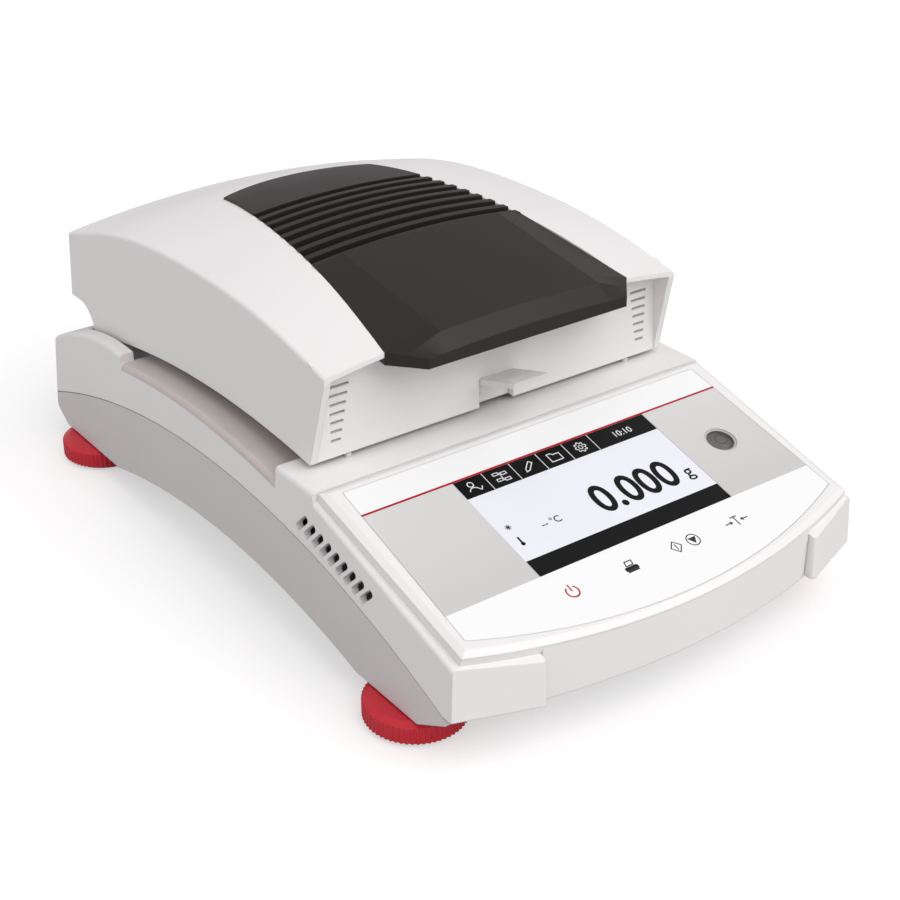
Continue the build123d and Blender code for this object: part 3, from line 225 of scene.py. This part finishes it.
# Printed foil: satin white with grey fields beside the screen
def foil_material():
    base = (0.89, 0.89, 0.90)
    m, tree, bsdf, colour = plastic("foil", base, 0.3, drift=0.985, grain=0.03, edge=0.0003)
    y = axis_of(tree, "Y")
    field = between(tree, y, *FIELD_Y)
    fade = ramp(tree, y, *FIELD_Y, 0.0, 1.0)
    grey = mix(tree, fade, (0.57, 0.56, 0.555), (0.66, 0.65, 0.645))
    tree.links.new(mix(tree, field, colour, grey), bsdf.inputs["Base Color"])
    bsdf.inputs["Coat Weight"].default_value = 0.25
    bsdf.inputs["Coat Roughness"].default_value = 0.2
    return m


# Lit screen: pale lavender, slightly brighter than the foil
def screen_material():
    m, tree, bsdf = material("screen")
    wash = ramp(tree, noise(tree, 10, 2), 0.3, 0.7)
    colour = mix(tree, wash, (0.70, 0.70, 0.76), (0.73, 0.73, 0.79))
    tree.links.new(colour, bsdf.inputs["Base Color"])
    tree.links.new(colour, bsdf.inputs["Emission Color"])
    bsdf.inputs["Emission Strength"].default_value = 0.12
    tree.links.new(ramp(tree, noise(tree, 80, 2), 0.3, 0.7, 0.16, 0.22), bsdf.inputs["Roughness"])
    return m


def ink(name, base, rough=0.35, specular=0.5):
    m, tree, bsdf = material(name)
    bsdf.inputs["Specular IOR Level"].default_value = specular
    tone = ramp(tree, noise(tree, 300, 2), 0.3, 0.7)
    tree.links.new(mix(tree, tone, shade(base, 0.9), base), bsdf.inputs["Base Color"])
    polish = ramp(tree, noise(tree, 500, 2), 0.3, 0.7, rough, rough + 0.06)
    tree.links.new(polish, bsdf.inputs["Roughness"])
    return m


base_cover = deck_material()
foil = foil_material()
screen = screen_material()
vial = plastic("vial", (0.50, 0.48, 0.475), rough=0.35, drift=0.8)[0]
ink_red = ink("ink_red", (0.42, 0.008, 0.016), 0.35, 0.3)
ink_black = ink("ink_black", (0.006, 0.006, 0.006), 0.3, 0.15)
ink_grey = ink("ink_grey", (0.035, 0.035, 0.035), 0.35, 0.25)
ink_white = ink("ink_white", (0.82, 0.82, 0.84), 0.3)

by_node = {
    "upper_housing": base_cover,
    "lid_shell": cover_white,
    "panel_bezel": cover_white,
    "lower_housing": tray_grey,
    "lid_insert": plate_black,
    "lid_handle": cover_white,
    "lid_frame": liner_grey,
    "panel_overlay": foil,
    "display_module": screen,
    "level_lens": lens,
    "level_vial": vial,
    "chamber_tub": tub_steel,
    "draft_shield": tub_steel,
    "sample_pan": dish_aluminium,
    "reflector": dish_aluminium,
    "load_cell": cell_aluminium,
    "load_cell_mount": cell_aluminium,
    "weigh_post": cell_aluminium,
    "pan_support": cell_aluminium,
    "heat_glass": glass,
    "ring_lamp": lamp_quartz,
    "mains_inlet": socket_black,
    "serial_port": socket_metal,
    "usb_port": socket_metal,
    "pan_lifter": frame_steel,
    "glass_clamp": frame_steel,
    "temperature_probe": frame_steel,
}
by_start = {
    "foot_wheel": foot_red,
    "foot_pad": sole_rubber,
    "foot_insert": brass,
    "lid_bumper": tray_grey,
    "lamp_holder": ceramic,
    "hinge": hinge_steel,
    "housing_screw": hinge_steel,
    "keypad_board": board_green,
    "main_board": board_green,
    "power_supply": board_green,
}
for name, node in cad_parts.items():
    chosen = by_node.get(name)
    for start, look in by_start.items():
        if name.startswith(start):
            chosen = look
    node.data.materials.clear()
    node.data.materials.append(chosen)


# ------------------------------------------------------- print on the panel
def on_panel(x, y, lift):
    normal = Vector((0, -PANEL_SLOPE, 1)).normalized()
    point = Vector((x, y, PANEL_Z0 + PANEL_SLOPE * y))
    return (point + normal * lift) * MM


class Print:
    """One closed thin layer of ink on the panel plane, in millimetres."""

    def __init__(self, name, look, slot, drop=0.0, thickness=INK):
        self.name = name
        self.look = look
        self.slot = slot
        self.low = drop
        self.high = drop + thickness
        self.bm = bmesh.new()

    def strip(self, left, right, closed=False):
        rings = []
        for a, b in zip(left, right):
            rings.append(
                [
                    self.bm.verts.new(on_panel(*a, self.low)),
                    self.bm.verts.new(on_panel(*b, self.low)),
                    self.bm.verts.new(on_panel(*b, self.high)),
                    self.bm.verts.new(on_panel(*a, self.high)),
                ]
            )
        count = len(rings)
        for i in range(count if closed else count - 1):
            here = rings[i]
            there = rings[(i + 1) % count]
            for k in range(4):
                self.bm.faces.new((here[k], there[k], there[(k + 1) % 4], here[(k + 1) % 4]))
        if not closed:
            self.bm.faces.new(rings[0])
            self.bm.faces.new(rings[-1][::-1])

    def line(self, points, width, closed=False):
        left = []
        right = []
        count = len(points)
        for i, point in enumerate(points):
            before = points[i - 1] if i > 0 or closed else point
            after = points[(i + 1) % count] if i < count - 1 or closed else point
            d1 = Vector((point[0] - before[0], point[1] - before[1]))
            d2 = Vector((after[0] - point[0], after[1] - point[1]))
            d1 = d1.normalized() if d1.length > 1e-9 else d2.normalized()
            d2 = d2.normalized() if d2.length > 1e-9 else d1
            side = Vector((-(d1.y + d2.y), d1.x + d2.x)).normalized()
            reach = width / 2 / max(0.5, side.dot(Vector((-d1.y, d1.x))))
            left.append((point[0] + side.x * reach, point[1] + side.y * reach))
            right.append((point[0] - side.x * reach, point[1] - side.y * reach))
        self.strip(left, right, closed)

    def ring(self, x, y, radius, width, start=0.0, end=360.0):
        full = end - start >= 360
        steps = 36 if full else 24
        points = []
        for i in range(steps if full else steps + 1):
            angle = math.radians(start + (end - start) * i / steps)
            points.append((x + radius * math.cos(angle), y + radius * math.sin(angle)))
        self.line(points, width, full)

    def fill(self, points):
        low = [self.bm.verts.new(on_panel(*p, self.low)) for p in points]
        high = [self.bm.verts.new(on_panel(*p, self.high)) for p in points]
        self.bm.faces.new(low[::-1])
        self.bm.faces.new(high)
        for i in range(len(points)):
            j = (i + 1) % len(points)
            self.bm.faces.new((low[i], low[j], high[j], high[i]))

    def rect(self, x0, y0, x1, y1):
        self.fill([(x0, y0), (x1, y0), (x1, y1), (x0, y1)])

    def disc(self, x, y, radius):
        steps = 24
        angles = [i * math.tau / steps for i in range(steps)]
        self.fill([(x + radius * math.cos(a), y + radius * math.sin(a)) for a in angles])

    def text(self, body, x, y, size, weight=0.0, stretch=1.0, align="LEFT"):
        curve = bpy.data.curves.new("letters", "FONT")
        curve.body = body
        curve.size = 1.0
        curve.offset = weight
        curve.align_x = align
        curve.resolution_u = 6
        curve.extrude = 0.01
        holder = bpy.data.objects.new("letters", curve)
        bpy.context.scene.collection.objects.link(holder)
        bpy.context.view_layer.update()
        graph = bpy.context.evaluated_depsgraph_get()
        mesh = bpy.data.meshes.new_from_object(holder.evaluated_get(graph))
        for v in mesh.vertices:
            lift = self.high if v.co.z > 0 else self.low
            v.co = on_panel(x + v.co.x * size * stretch, y + v.co.y * size * PANEL_COS, lift)
        self.bm.from_mesh(mesh)
        bpy.data.objects.remove(holder)
        bpy.data.curves.remove(curve)
        bpy.data.meshes.remove(mesh)

    def done(self):
        bmesh.ops.remove_doubles(self.bm, verts=self.bm.verts, dist=1e-7)
        bmesh.ops.recalc_face_normals(self.bm, faces=self.bm.faces)
        mesh = bpy.data.meshes.new(self.name)
        self.bm.to_mesh(mesh)
        self.bm.free()
        mesh.materials.append(self.look)
        piece = bpy.data.objects.new(self.name, mesh)
        bpy.context.scene.collection.objects.link(piece)
        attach(piece, "chassis")
        return piece


# The line across the foil, and the middles of the five key symbols
LINE_HALF = 87.8
LINE_Y = (-84.3, -83.4)
ICON_Y = -147.0
POWER_X = -41.3
PRINT_X = -14.0
START_X = 8.5
STOP_X = 17.0
ZERO_X = 39.6
HEAVY = 0.6
MEDIUM = 0.5
FINE = 0.42

red = Print("print_red", ink_red, "foil")
red.rect(-LINE_HALF, LINE_Y[0], LINE_HALF, LINE_Y[1])
red.ring(POWER_X, ICON_Y, 2.5, HEAVY, 125, 415)
red.line([(POWER_X, ICON_Y + 0.3), (POWER_X, ICON_Y + 3.4)], HEAVY)
red.done()

dark = Print("print_dark", ink_grey, "foil")
# print: paper over a tray
dark.line(
    [
        (PRINT_X - 2.6, ICON_Y - 1.6),
        (PRINT_X - 2.6, ICON_Y - 0.6),
        (PRINT_X + 2.6, ICON_Y - 0.6),
        (PRINT_X + 2.6, ICON_Y - 1.6),
    ],
    0.9,
)
dark.rect(PRINT_X - 2.6, ICON_Y - 2.4, PRINT_X + 2.6, ICON_Y + 0.2)
dark.line(
    [
        (PRINT_X - 1.6, ICON_Y + 0.6),
        (PRINT_X - 1.0, ICON_Y + 2.6),
        (PRINT_X + 2.1, ICON_Y + 2.6),
        (PRINT_X + 1.6, ICON_Y + 0.6),
    ],
    0.45,
    True,
)
# start: open diamond with a bar
dark.line(
    [
        (START_X - 2.5, ICON_Y),
        (START_X, ICON_Y + 2.7),
        (START_X + 2.5, ICON_Y),
        (START_X, ICON_Y - 2.7),
    ],
    FINE,
    True,
)
dark.line([(START_X, ICON_Y - 1.4), (START_X, ICON_Y + 1.4)], FINE)
# stop: circle with a filled triangle
dark.ring(STOP_X, ICON_Y, 2.7, FINE)
dark.fill([(STOP_X - 1.9, ICON_Y + 1.2), (STOP_X, ICON_Y - 1.9), (STOP_X + 1.9, ICON_Y + 1.2)])
# zero: two arrows that meet at a bar
for side in (-1, 1):
    dark.line([(ZERO_X + side * 5.6, ICON_Y), (ZERO_X + side * 2.6, ICON_Y)], MEDIUM)
    dark.fill(
        [
            (ZERO_X + side * 1.9, ICON_Y),
            (ZERO_X + side * 3.3, ICON_Y + 0.9 * side),
            (ZERO_X + side * 3.3, ICON_Y - 0.9 * side),
        ]
    )
dark.line([(ZERO_X - 1.6, ICON_Y + 2.2), (ZERO_X + 1.6, ICON_Y + 2.2)], MEDIUM)
dark.line([(ZERO_X, ICON_Y + 2.2), (ZERO_X, ICON_Y - 2.2)], MEDIUM)
dark.done()

# ---------------------------------------------------------------- the screen
TOP_Y = -84.3
BOTTOM_Y = -136.3
HALF = 47.3
MENU_LOW_Y = -93.6
MESSAGE_HIGH_Y = -128.2
HEAT_X = -42.5
SUN_Y = -111.6
SUN_REACH = 1.3
BULB_Y = -120.6
bars = Print("screen_bars", ink_black, "display", SCREEN_DROP)
bars.rect(-HALF, MENU_LOW_Y, HALF, TOP_Y)
bars.rect(-HALF, BOTTOM_Y, HALF, MESSAGE_HIGH_Y)
bars.text("0.000", 36.5, -121.6, 20.0, 0.018, 0.92, "RIGHT")
bars.text("g", 39.4, -120.6, 9.0, 0.006)
bars.text("-- °C", -30.5, -117.5, 4.6, 0.004)
# heat symbol: a small sun and a thermometer
for i in range(4):
    angle = i * math.pi / 4
    dx = SUN_REACH * math.cos(angle)
    dy = SUN_REACH * math.sin(angle)
    bars.line([(HEAT_X - dx, SUN_Y - dy), (HEAT_X + dx, SUN_Y + dy)], 0.3)
bars.line([(HEAT_X, BULB_Y + 3.6), (HEAT_X, BULB_Y + 0.2)], 0.8)
bars.disc(HEAT_X, BULB_Y, 0.85)
bars.done()

marks = Print("screen_marks", ink_white, "display", SCREEN_DROP + INK, 0.04)
CELL = 13.0
SPLIT = 0.15
cells = [-HALF + CELL * (i + 0.5) for i in range(5)]
for i in range(1, 6):
    edge = -HALF + CELL * i
    marks.rect(edge - SPLIT, MENU_LOW_Y + 0.2, edge + SPLIT, TOP_Y - 0.2)
mid = -89.0
# user
marks.ring(cells[0] - 0.8, mid + 1.4, 1.2, 0.4)
marks.ring(cells[0] - 0.8, mid - 2.6, 2.3, 0.4, 20, 160)
marks.line([(cells[0] + 1.2, mid - 1.6), (cells[0] + 2.0, mid - 2.4), (cells[0] + 3.2, mid - 0.8)], 0.4)
# method
for row in (-1, 1):
    for column in (-1, 1):
        x = cells[1] + column * 1.7
        y = mid + row * 1.6 - column * 0.3
        box = [(x - 1.2, y - 0.6), (x + 1.2, y - 0.6), (x + 1.2, y + 0.6), (x - 1.2, y + 0.6)]
        marks.line(box, 0.35, True)
marks.line([(cells[1], mid - 2.2), (cells[1], mid + 2.2)], 0.3)
# pen
pen = [(-2.4, -2.2), (-1.9, -0.7), (1.4, 2.3), (2.5, 1.2), (-0.8, -1.9)]
marks.line([(cells[2] + x, mid + y) for x, y in pen], 0.4, True)
# folder
folder = [(-2.7, -2.1), (-2.7, 2.1), (-0.8, 2.1), (-0.2, 1.3), (2.7, 1.3), (2.7, -2.1)]
marks.line([(cells[3] + x, mid + y) for x, y in folder], 0.4, True)
# gear
teeth = []
for i in range(32):
    angle = i * math.tau / 32
    radius = 2.6 if i % 4 < 2 else 1.95
    teeth.append((cells[4] + radius * math.cos(angle), mid + radius * math.sin(angle)))
marks.line(teeth, 0.35, True)
marks.ring(cells[4], mid, 0.9, 0.35)
marks.text("10:10", 32.5, mid - 1.5, 4.4, 0.0, 1.0, "CENTER")
marks.done()

# ------------------------------------------------------------- bubble level
LEVEL_X = 67.2
LEVEL_Y = -109.7


def lathe(name, look, profile, lift, centre=(LEVEL_X, LEVEL_Y), steps=40):
    """Revolved closed profile standing on the panel, in millimetres."""
    bm = bmesh.new()
    normal = Vector((0, -PANEL_SLOPE, 1)).normalized()
    across = Vector((1, 0, 0))
    along = normal.cross(across)
    base = on_panel(*centre, lift)
    rings = []
    for i in range(steps):
        angle = i * math.tau / steps
        out = across * math.cos(angle) + along * math.sin(angle)
        rings.append([bm.verts.new(base + (out * r + normal * h) * MM) for r, h in profile])
    count = len(profile)
    for i in range(steps):
        a = rings[i]
        b = rings[(i + 1) % steps]
        for k in range(count):
            j = (k + 1) % count
            bm.faces.new((a[k], b[k], b[j], a[j]))
    bmesh.ops.remove_doubles(bm, verts=bm.verts, dist=1e-7)
    bmesh.ops.recalc_face_normals(bm, faces=bm.faces)
    mesh = bpy.data.meshes.new(name)
    bm.to_mesh(mesh)
    bm.free()
    mesh.materials.append(look)
    for polygon in mesh.polygons:
        polygon.use_smooth = True
    piece = bpy.data.objects.new(name, mesh)
    bpy.context.scene.collection.objects.link(piece)
    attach(piece, "chassis")
    return piece


circle = [(2.45, 0), (2.6, 0), (2.6, INK), (2.45, INK)]
lathe("level_circle", ink_grey, circle, 0.02)

# ------------------------------------------------------------ under the tab
WEB_SIZE = (0.0212, 0.001, 0.0078)
WEB_PLACE = (0, -0.0464, 0.0766)

# Web that closes the lid's front behind the lift tab
bpy.ops.mesh.primitive_cube_add(size=1, location=WEB_PLACE)
web = bpy.context.object
web.name = "notch_web"
web.data.transform(Matrix.Diagonal((*WEB_SIZE, 1)))
web.data.materials.append(cover_white)
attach(web, "lid")

# ------------------------------------------------------------ stage, camera
FLOOR_SIZE = 14
FLOOR_DROP = -0.0003
FLOOR_LIFT = 0.50
ROOM_LIGHT = 0.5
ROOM_SEEN = 1.1
bpy.ops.mesh.primitive_plane_add(size=FLOOR_SIZE, location=(0, 0, FLOOR_DROP))
floor = bpy.context.object
floor.name = "floor"
look, tree, bsdf = material("floor_white")
bsdf.inputs["Roughness"].default_value = 0.75
bsdf.inputs["Specular IOR Level"].default_value = 0.2
tone = ramp(tree, noise(tree, 3, 3), 0.3, 0.7)
tree.links.new(mix(tree, tone, (0.52, 0.51, 0.51), (0.54, 0.53, 0.53)), bsdf.inputs["Base Color"])
path = tree.nodes.new("ShaderNodeLightPath")
lift = tree.nodes.new("ShaderNodeEmission")
lift.inputs["Color"].default_value = (1, 1, 1, 1)
seen_lift = math_node(tree, "MULTIPLY", path.outputs["Is Camera Ray"], FLOOR_LIFT)
tree.links.new(seen_lift, lift.inputs["Strength"])
both = tree.nodes.new("ShaderNodeAddShader")
out = [n for n in tree.nodes if n.type == "OUTPUT_MATERIAL"][0]
tree.links.new(bsdf.outputs["BSDF"], both.inputs[0])
tree.links.new(lift.outputs["Emission"], both.inputs[1])
tree.links.new(both.outputs["Shader"], out.inputs["Surface"])
floor.data.materials.append(look)

world = bpy.data.worlds.new("studio")
bpy.context.scene.world = world
world.use_nodes = True
world.node_tree.nodes["Background"].inputs["Color"].default_value = (1, 1, 1, 1)
seen = world.node_tree.nodes.new("ShaderNodeLightPath")
world.node_tree.links.new(
    ramp(world.node_tree, seen.outputs["Is Camera Ray"], 0.0, 1.0, ROOM_LIGHT, ROOM_SEEN),
    world.node_tree.nodes["Background"].inputs["Strength"],
)


def sun(name, azimuth, elevation, strength, angle):
    data = bpy.data.lights.new(name, "SUN")
    data.energy = strength
    data.angle = math.radians(angle)
    lamp = bpy.data.objects.new(name, data)
    bpy.context.scene.collection.objects.link(lamp)
    a = math.radians(azimuth)
    e = math.radians(elevation)
    towards = Vector((math.sin(a) * math.cos(e), -math.cos(a) * math.cos(e), math.sin(e)))
    lamp.rotation_euler = towards.to_track_quat("Z", "Y").to_euler()
    return lamp


sun("key", 20, 50, 1.88, 60)
sun("fill_left", -70, 35, 0.56, 70)

AZIMUTH = math.radians(-36.58)
ELEVATION = math.radians(28.51)
CAMERA_PLACE = (-0.363995, -0.509401, 0.368751)
FOCAL_LENGTH = 65.67
right = Vector((math.cos(AZIMUTH), math.sin(AZIMUTH), 0))
back = Vector(
    (
        math.sin(AZIMUTH) * math.cos(ELEVATION),
        -math.cos(AZIMUTH) * math.cos(ELEVATION),
        math.sin(ELEVATION),
    )
)
up = back.cross(right)
lens_data = bpy.data.cameras.new("camera")
lens_data.lens = FOCAL_LENGTH
lens_data.sensor_width = 36
lens_data.sensor_fit = "HORIZONTAL"
camera = bpy.data.objects.new("camera", lens_data)
camera.matrix_world = Matrix(
    (
        (right.x, up.x, back.x, CAMERA_PLACE[0]),
        (right.y, up.y, back.y, CAMERA_PLACE[1]),
        (right.z, up.z, back.z, CAMERA_PLACE[2]),
        (0, 0, 0, 1),
    )
)
bpy.context.scene.collection.objects.link(camera)
bpy.context.scene.camera = camera
bpy.context.scene.view_settings.view_transform = "Standard"
